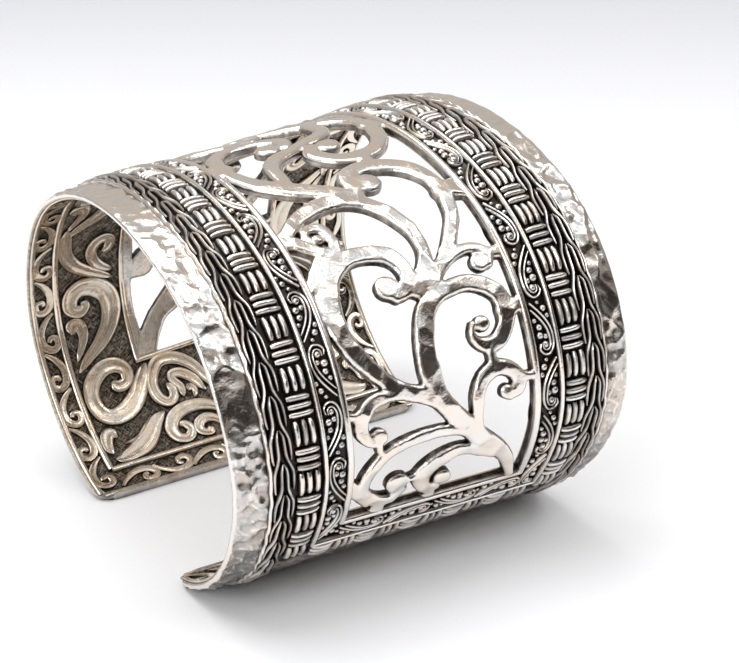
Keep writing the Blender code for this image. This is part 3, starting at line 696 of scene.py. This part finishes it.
# Each framing wire: how far outside the window it lies, its half width, foot and rise.
FRAMING = ((0.42, 0.46, 0.86, 0.70), (3.50, 0.31, 0.95, 0.88))
MARGIN_WIRE_ACROSS, MARGIN_WIRE_STOP, MARGIN_WIRE_HALF = 21.27, 2.5, 0.24
MARGIN_SHIFT = 0.7 * PATTERN_OFFSET
wires = Heap()
for reach, half, foot, rise in FRAMING:
    side, end = BAND_START + reach, WINDOW_HALF_LENGTH + reach
    for turn in (-1, 1):
        wires.wire(on_pattern(lengthwise(side * turn, end, half)), foot, rise, THICK_WIRE)
        wires.wire(on_pattern(crosswise(end * turn, side, half)), foot, rise, THICK_WIRE)
for turn in (-1, 1):
    edge = lengthwise(turn * MARGIN_WIRE_ACROSS + MARGIN_SHIFT, HALF_LENGTH - MARGIN_WIRE_STOP,
                      MARGIN_WIRE_HALF, 0.5)
    edge[:, 0] += 0.05 * np.sin(edge[:, 1] * 1.9)
    wires.wire(edge, 1.0, 0.62 + 0.08 * np.sin(edge[:, 1] * 3.1))
BRIGHT_SILVER = (0.85, 0.805, 0.76)
wires.piece("framing_wires", silver("wire_silver", BRIGHT_SILVER, OXIDE, sheen=0.15, rough=0.5,
                                    grain=0.5, dent=0.4))

# The braid: two flat chains of bent wire, soldered beside the hammered edges from one terminal
# to the other. Each link opens downward over the head of the next.
# Its points, and those of the wires below, give across, along and half width in hundredths of a
# millimetre.
HUNDREDTHS = np.full(3, 100.0)
LINK_PITCH = 3.73
LINK = [(9, 0, 16), (36, 70, 23), (42, 160, 25), (46, 290, 26), (73, 380, 26), (110, 470, 26),
    (120, 560, 25), (118, 660, 22), (112, 720, 15)]
BRAID_ACROSS, BRAID_FOOT = 19.8, 1.0
braid = Heap()
chance = np.random.default_rng(5)


def jitter(amount):
    """A small difference either way, as hand work has."""
    return amount * (chance.random() - 0.5)


for side, first in ((-1, 20.3), (1, 21.0)):
    middle = side * BRAID_ACROSS + MARGIN_SHIFT
    for step in range(-26, 16):
        apex = first + step * LINK_PITCH
        if apex < 2.6 - HALF_LENGTH or apex > HALF_LENGTH - 10.0:
            continue
        for arm in (-1, 1):
            line = smooth_line(LINK / HUNDREDTHS, 3)
            line[:, 1] *= 1.0 + jitter(0.05)
            line[:, 0] = middle + arm * (0.92 * line[:, 0] + jitter(0.12))
            line[:, 2] *= 0.76 + 0.2 * chance.random()
            line[:, 1] += apex
            along_link = np.linspace(0.0, 1.0, len(line))
            droop = 0.3 * along_link ** 1.5
            rise = 0.98 - 0.18 * chance.random() - droop - 0.25 * (1 - smooth(0.0, 0.12, along_link))
            braid.wire(line, BRAID_FOOT, rise, shine=0.6 + 0.4 * chance.random())
braid.piece("braided_edges", silver("braid_silver", (0.64, 0.60, 0.565), OXIDE, sheen=0.2, rough=0.5,
                                    grain=0.7, dent=0.5))

# The weave: a border of short round bars laid three by three, crosswise and lengthwise in turn,
# all round the window outside the framing wires.
WEAVE_PITCH = 5.891
WEAVE_START = WINDOW_HALF_LENGTH + 3.8
WEAVE_ACROSS, WEAVE_FIRST = 16.95, 8.25
BAR_PITCH, BAR_HALF_LENGTH, BAR_FOOT, BAR_RISE = 0.9, 1.36, 0.95, 0.92
weave = Heap()


def weave_block(middle_across, middle_along, across_cuff):
    """Three bars side by side, none quite like the next, laid across the cuff or along it."""
    for step in (-1, 0, 1):
        shift = step * BAR_PITCH + jitter(0.08)
        length = BAR_HALF_LENGTH + jitter(0.12)
        lean = jitter(0.1)
        run = np.linspace(-1.0, 1.0, 9)
        half = (0.41 if across_cuff else 0.37) * (1.0 - 0.3 * run ** 8) * (1.0 + jitter(0.12))
        first, second = run * length, shift + lean * run
        line = np.stack((middle_across + (first if across_cuff else second),
                         middle_along + (second if across_cuff else first), half), axis=1)
        weave.wire(on_pattern(line), BAR_FOOT, BAR_RISE - 0.34 * np.abs(run) ** 3,
                   shine=0.55 + 0.45 * chance.random())


for side in (-1, 1):
    for step in range(-21, 22):
        middle = WEAVE_FIRST - WEAVE_PITCH * 1.5 + step * WEAVE_PITCH / 2
        if abs(middle) < WEAVE_START + 1.7:
            weave_block(side * WEAVE_ACROSS, middle, step % 2 == 1)
    for step in range(10):
        weave_block((step - 4.5) * WEAVE_PITCH / 2, side * (WEAVE_START + 1.65), step % 2 == 0)
weave.piece("woven_border", silver("weave_silver", BRIGHT_SILVER, OXIDE, sheen=0.2, rough=0.5,
                                   grain=0.7, dent=0.5))

# The grain border: scrolls of doubled wire, each with a row of large and small silver grains beside
# it, soldered between the two framing wires on a ground left black.
SCROLL_PITCH = 6.33
OUTER_WIRE = [(-70, 135, 14), (-85, 75, 17), (-40, 22, 19), (32, 18, 20), (86, 88, 21), (102, 190, 21),
    (86, 300, 21), (38, 410, 21), (-33, 510, 20), (-100, 595, 16)]
INNER_WIRE = [(-46, 144, 12), (-44, 88, 15), (-8, 62, 16), (30, 76, 17), (56, 127, 18), (58, 200, 18),
    (40, 290, 18), (-5, 382, 18), (-66, 468, 16), (-110, 520, 13)]
GRAINS = [(-5, 118, 40), (20, 205, 34), (-52, 225, 42), (-42, 315, 37), (-80, 395, 30), (95, 425, 30),
    (62, 510, 37), (15, 585, 25)]
SCROLL_FOOT, SCROLL_RISE, GRAIN_FOOT = 0.95, 0.68, 0.98
SCROLL_MIDDLE, END_MIDDLE = 13.55, 2.05
LEFT_FIRST, RIGHT_FIRST = 19.04, -20.0
END_FIRST, END_PITCH = 12.4, 6.2
grains = Heap()


def scroll_unit(place):
    """One scroll with its grains; place turns its own across and along into the window's axes."""
    for rows in (OUTER_WIRE, INNER_WIRE):
        line = smooth_line(rows / HUNDREDTHS, 3)
        line[:, :2] = [place(*point) for point in line[:, :2]]
        grains.wire(on_pattern(line), SCROLL_FOOT, SCROLL_RISE)
    for across, along, radius in GRAINS / HUNDREDTHS:
        spot = on_pattern([(*place(across, along), radius * (1.08 + 0.16 * chance.random()))])[0]
        grains.grain(*spot, GRAIN_FOOT)


for step in range(-13, 13):
    hand = 1 if step % 2 else -1
    start = LEFT_FIRST + step * SCROLL_PITCH
    if -WINDOW_HALF_LENGTH - 3.6 < start < WINDOW_HALF_LENGTH - 3.0:
        scroll_unit(lambda v, a: (-SCROLL_MIDDLE + hand * v, start + a))
    start = RIGHT_FIRST + (step + 1) * SCROLL_PITCH
    if -WINDOW_HALF_LENGTH - 3.8 < start < WINDOW_HALF_LENGTH - 3.0:
        scroll_unit(lambda v, a: (SCROLL_MIDDLE - hand * v, -start - a))
for end in (-1, 1):
    for step in range(4):
        hand = 1 if step % 2 else -1
        scroll_unit(lambda v, a: (end * (END_FIRST - step * END_PITCH - a),
                                  end * (WINDOW_HALF_LENGTH + END_MIDDLE + hand * v)))
grains.piece("grain_border", silver("grain_silver", (0.72, 0.68, 0.64), OXIDE, sheen=0.17, rough=0.5,
                                    grain=0.6, dent=0.3))

# The lining: scrolls chased in low relief on a matted ground, inside a raised wire and a border
# of running scrolls. It shows on the wrist side all the way round.
lining = Heap()
RELIEF_FOOT = LINING_GROUND + 0.05
RUNNING_SCROLL = [(-115, 0, 15), (10, 110, 30), (100, 280, 40), (85, 460, 42), (-20, 540, 40),
    (-110, 490, 36), (-100, 380, 32), (-20, 370, 28), (5, 420, 20)]
# Their points give across and along in tenths of a millimetre, and the half width in hundredths.
CHASED_UNITS = np.array([10.0, 10.0, 100.0])
SIDE_SCROLLS = [
    [(-200, -546, 30), (-180, -528, 60), (-160, -512, 90), (-142, -490, 120), (-134, -465, 140),
     (-139, -442, 140), (-156, -427, 140), (-176, -424, 130), (-190, -435, 110), (-192, -452, 90),
     (-180, -460, 80), (-172, -452, 70), (-176, -446, 40)],
    [(-198, -530, 25), (-188, -513, 40), (-181, -496, 60), (-184, -480, 80), (-193, -478, 90),
     (-196, -490, 60)],
    [(-128, -420, 25), (-145, -410, 50), (-165, -398, 70), (-185, -382, 85), (-197, -360, 90),
     (-199, -335, 80), (-199, -310, 50)],
    [(-129, -406, 35), (-143, -398, 55), (-156, -383, 65), (-160, -366, 70), (-153, -351, 70),
     (-142, -346, 70), (-133, -354, 65), (-136, -366, 60), (-144, -369, 40)],
]
TERMINAL_SCROLLS = [
    [(-199, -690, 30), (-186, -691, 80), (-168, -686, 125), (-150, -677, 140), (-134, -663, 115),
     (-120, -647, 80), (-105, -636, 40)],
    [(-176, -668, 20), (-155, -666, 35), (-138, -652, 35), (-124, -636, 20)],
    [(-198, -679, 40), (-200, -665, 60), (-196, -650, 80), (-189, -646, 70), (-183, -655, 40)],
    [(-93, -666, 40), (-85, -665, 50), (-79, -676, 55), (-89, -689, 65), (-102, -684, 75), (-106, -668, 85),
     (-97, -652, 90), (-82, -643, 90), (-63, -640, 85), (-43, -644, 80), (-26, -655, 60), (-12, -675, 40)],
    [(-52, -683, 60), (-57, -690, 50), (-68, -683, 60), (-64, -670, 65), (-50, -665, 65), (-37, -672, 50),
     (-30, -686, 30)],
    [(-106, -559, 60), (-118, -580, 100), (-134, -604, 130), (-156, -620, 135), (-178, -622, 120),
     (-191, -608, 105), (-194, -585, 100), (-186, -564, 110), (-168, -550, 110), (-149, -549, 100),
     (-136, -560, 85), (-138, -576, 75), (-152, -581, 80), (-159, -571, 50)],
    [(-86, -596, 35), (-80, -606, 50), (-83, -620, 60), (-93, -624, 65), (-104, -613, 75), (-106, -594, 75),
     (-100, -576, 80), (-88, -562, 85), (-72, -560, 85), (-54, -567, 80), (-38, -582, 70), (-26, -604, 60),
     (-12, -626, 50), (-6, -646, 30)],
    [(-68, -622, 35), (-67, -608, 50), (-75, -593, 50), (-72, -585, 55), (-58, -588, 65), (-44, -602, 60),
     (-34, -622, 35)],
    [(-58, -616, 35), (-54, -609, 35), (-49, -618, 35), (-53, -628, 30)],
]
# The section of a chased scroll and of a flat wire, from side to side: swing, climb and polish.
CHASED = [(-1.0, 0.0, 0.05), (-0.93, 0.7, 0.45), (-0.72, 1.0, 0.95), (-0.36, 0.93, 0.85),
          (-0.06, 0.68, 0.6), (0.22, 0.78, 0.75), (0.62, 1.0, 0.95), (0.9, 0.75, 0.5), (1.0, 0.0, 0.05)]
FLAT_WIRE = [(-1.0, 0.0, 0.1), (-0.9, 0.8, 0.6), (-0.5, 1.0, 0.95), (0.5, 1.0, 0.95), (0.9, 0.8, 0.6),
             (1.0, 0.0, 0.1)]
GROUP_PITCH = 21.84
CHASED_DEPTH, RUNNING_DEPTH, BORDER_DEPTH, WINDOW_WIRE_DEPTH = 0.42, 0.36, 0.46, 0.44
RUNNING_ACROSS, RUNNING_ALONG, RUNNING_PITCH, END_RUNNING_PITCH = 22.95, 73.0, 5.7, 5.25
BORDER_ACROSS, BORDER_ALONG = 21.1, 70.4
WINDOW_WIRE_ALONG = WINDOW_HALF_LENGTH + 0.4


def relief(rows, across_sign, along_sign, shift=0.0):
    """A chased scroll, mirrored by its signs, fading at both ends."""
    line = smooth_line(rows / CHASED_UNITS, 5)
    line[:, 0] *= across_sign
    line[:, 1] = along_sign * (line[:, 1] + shift)
    swell = np.clip(line[:, 2] / 0.7, 0.3, 1.0) ** 0.5
    from_end = np.minimum(np.arange(len(line)), np.arange(len(line))[::-1])
    line[:, 2] *= (1.5 - 0.3 * np.minimum(line[:, 2], 1.2)) * np.minimum(1.0, (from_end + 0.5) / 3.0) ** 0.6
    lining.wire(line, RELIEF_FOOT, -CHASED_DEPTH * swell, CHASED)


def running_scroll(place):
    """One scroll of the border; place turns its own across and along into the sheet's."""
    across, along, half = smooth_line(RUNNING_SCROLL / HUNDREDTHS, 3).T
    line = np.stack((*place(across, along), half * 1.45), axis=1)
    lining.wire(line, RELIEF_FOOT, -RUNNING_DEPTH, FLAT_WIRE)


for turn in (-1, 1):
    for step in range(5):
        for rows in SIDE_SCROLLS:
            relief(rows, turn, turn, step * GROUP_PITCH)
    for mirror in (-1, 1):
        for rows in TERMINAL_SCROLLS:
            relief(rows, mirror, turn)
    for step in range(26):
        hand = 1 if step % 2 else -1
        start = -HALF_LENGTH + 2.0 + step * RUNNING_PITCH + RUNNING_PITCH
        running_scroll(lambda v, a: (turn * (-RUNNING_ACROSS + hand * v), turn * (start - a)))
    for step in range(8):
        hand = 1 if step % 2 else -1
        start = -21.0 + step * END_RUNNING_PITCH
        running_scroll(lambda v, a: (start + a * 0.97, turn * (RUNNING_ALONG + hand * v)))
    lining.wire(lengthwise(turn * BORDER_ACROSS, BORDER_ALONG, 0.5), RELIEF_FOOT, -BORDER_DEPTH)
    lining.wire(crosswise(turn * BORDER_ALONG, BORDER_ACROSS, 0.5), RELIEF_FOOT, -BORDER_DEPTH)
    lining.wire(lengthwise(turn * 24.4, HALF_LENGTH - 1.0, 0.34), 0.35, -0.3, shine=0.75)
    lining.wire(crosswise(turn * 74.95, 24.0, 0.4), 0.3, -0.3)
    lining.wire(on_pattern(lengthwise(turn * 11.9, WINDOW_WIRE_ALONG, 0.45)), RELIEF_FOOT, -WINDOW_WIRE_DEPTH)
    lining.wire(on_pattern(crosswise(turn * WINDOW_WIRE_ALONG, 12.3, 0.45)), RELIEF_FOOT, -WINDOW_WIRE_DEPTH)
lining.piece("chased_lining", silver("lining_silver", LINING_SILVER, LINING_OXIDE, sheen=0.14, rough=0.5,
                                     grain=0.2, dent=0.8, patina=0.15, crevice=1.8))

# The table: a sheet of pale paper that grows a little darker away from the camera; the darkening is painted
# shade, standing for the light falling off toward the back.
TABLE_SIZE, TABLE_STEPS = 3.0, 12
NEAR_PAPER, FAR_PAPER_SHADE, FAR_PLACE = (0.85, 0.855, 0.87), (0.57, 0.58, 0.62), 0.42
table_line = [(i / TABLE_STEPS - 0.5) * TABLE_SIZE for i in range(TABLE_STEPS + 1)]
table_row = TABLE_STEPS + 1
table_faces = [(first, first + table_row, first + table_row + 1, first + 1)
               for i in range(TABLE_STEPS) for first in range(i * table_row, i * table_row + TABLE_STEPS)]
table_mesh = bpy.data.meshes.new("table")
table_mesh.from_pydata([(x, y, 0.0) for x in table_line for y in table_line], [], table_faces)
table = bpy.data.objects.new("table", table_mesh)
bpy.context.scene.collection.objects.link(table)
paper = bpy.data.materials.new("white_paper")
paper.use_nodes = True
paper_nodes, paper_links = paper.node_tree.nodes, paper.node_tree.links
place_on_table = paper_nodes.new("ShaderNodeTexCoord").outputs["Object"]
away = paper_nodes.new("ShaderNodeVectorMath")
away.operation = "DOT_PRODUCT"
away.inputs[1].default_value = (0.6, 0.8, 0.0)
paper_links.new(place_on_table, away.inputs[0])
# Painted shade: the paper's colour darkens away from the camera.
painted_shade_fade = shades(paper_nodes, (NEAR_PAPER, 0.0), (FAR_PAPER_SHADE, FAR_PLACE))
painted_shade_fade.color_ramp.interpolation = "EASE"
paper_links.new(away.outputs["Value"], painted_shade_fade.inputs["Fac"])
paper_shader = paper_nodes["Principled BSDF"]
paper_links.new(painted_shade_fade.outputs["Color"], paper_shader.inputs["Base Color"])
paper_shader.inputs["Roughness"].default_value = 0.7
table_mesh.materials.append(paper)

# The light: a room that is bright and dark in stretches, which the silver mirrors, and three soft
# lamps. The right one fills the shadow on the paper and isn't mirrored in the silver.
world = bpy.data.worlds.new("studio")
bpy.context.scene.world = world
world.use_nodes = True
sky, sky_links = world.node_tree.nodes, world.node_tree.links
direction = sky.new("ShaderNodeTexCoord").outputs["Generated"]
ROOM = (0.43, 0.405, 0.38, 1.0)
# Each stretch of the room round the table: where it lies, how wide it is at its core and with its
# soft edge, in degrees, and how bright it is.
STRETCHES = [
    ((0.30, 0.90, 0.45), 20.0, 50.0, (0.60, 0.56, 0.52)),
    ((-0.95, 0.10, 0.25), 20.0, 55.0, (0.84, 0.82, 0.81)),
    ((0.30, -0.28, 0.92), 14.0, 38.0, (0.90, 0.925, 0.96)),
    ((0.85, -0.40, 0.35), 14.0, 32.0, (0.32, 0.29, 0.27)),
    ((0.34, -0.93, 0.16), 22.0, 36.0, (0.035, 0.03, 0.028)),
    ((-0.46, -0.80, 0.38), 9.0, 22.0, (0.20, 0.18, 0.165)),
    ((0.40, -0.40, 0.82), 3.0, 9.0, (4.2, 4.15, 4.1)),
    ((0.08, -0.12, 0.99), 3.5, 10.0, (3.8, 3.85, 4.0)),
    ((0.62, -0.15, 0.77), 3.0, 9.0, (4.0, 4.0, 4.0)),
]
room = sky.new("ShaderNodeRGB")
room.outputs["Color"].default_value = ROOM
seen = room.outputs["Color"]
for place, core, reach, glow in STRETCHES:
    towards = sky.new("ShaderNodeVectorMath")
    towards.operation = "DOT_PRODUCT"
    sky_links.new(direction, towards.inputs[0])
    towards.inputs[1].default_value = Vector(place).normalized()
    share = sky.new("ShaderNodeMapRange")
    share.interpolation_type = "SMOOTHSTEP"
    share.inputs["From Min"].default_value = math.cos(math.radians(reach))
    share.inputs["From Max"].default_value = math.cos(math.radians(core))
    sky_links.new(towards.outputs["Value"], share.inputs["Value"])
    mixed = sky.new("ShaderNodeMix")
    mixed.data_type = "RGBA"
    sky_links.new(share.outputs["Result"], mixed.inputs["Factor"])
    sky_links.new(seen, mixed.inputs["A"])
    mixed.inputs["B"].default_value = (*glow, 1.0)
    seen = mixed.outputs["Result"]
sky_links.new(seen, sky["Background"].inputs["Color"])


def soft_lamp(name, place, aim, width, height, power, colour):
    """A rectangular lamp turned to what it lights; lengths in metres, power in watts."""
    lamp = bpy.data.lights.new(name, "AREA")
    lamp.shape = "RECTANGLE"
    lamp.size, lamp.size_y, lamp.energy, lamp.color = width, height, power, colour
    holder = bpy.data.objects.new(name, lamp)
    bpy.context.scene.collection.objects.link(holder)
    holder.location = place
    holder.rotation_euler = (Vector(aim) - Vector(place)).to_track_quat("-Z", "Y").to_euler()


soft_lamp("lamp_above", (-0.14, 0.20, 0.66), (0.0, 0.0, 0.02), 0.62, 0.50, 3.2, (0.97, 0.985, 1.0))
soft_lamp("lamp_left", (-0.55, -0.28, 0.38), (0.0, 0.0, 0.0), 0.40, 0.32, 1.8, (0.98, 0.99, 1.0))
soft_lamp("lamp_right", (0.45, -0.35, 0.45), (0.0, 0.0, 0.0), 0.50, 0.40, 1.4, (0.98, 0.99, 1.0))
bpy.data.objects["lamp_right"].visible_glossy = False

# The camera stands to the left, above the table, and is rolled a little, as it was held.
AZIMUTH, ELEVATION, ROLL = math.radians(-30.206), math.radians(22.515), math.radians(1.962)
AIM, DISTANCE, LENS = Vector((0.00505, -0.00780, 0.02341)), 0.20594, 82.8
back = Vector((math.sin(AZIMUTH) * math.cos(ELEVATION), -math.cos(AZIMUTH) * math.cos(ELEVATION),
               math.sin(ELEVATION)))
right = Vector((math.cos(AZIMUTH), math.sin(AZIMUTH), 0.0))
up = back.cross(right)
turned_right = math.cos(ROLL) * right - math.sin(ROLL) * up
turned_up = math.sin(ROLL) * right + math.cos(ROLL) * up
lens = bpy.data.cameras.new("camera")
lens.sensor_width = 36.0
lens.lens = LENS
camera = bpy.data.objects.new("camera", lens)
bpy.context.scene.collection.objects.link(camera)
turned = Matrix((turned_right, turned_up, back)).transposed().to_4x4()
camera.matrix_world = Matrix.Translation(AIM + back * DISTANCE) @ turned
bpy.context.scene.camera = camera
bpy.context.scene.view_settings.view_transform = "Standard"
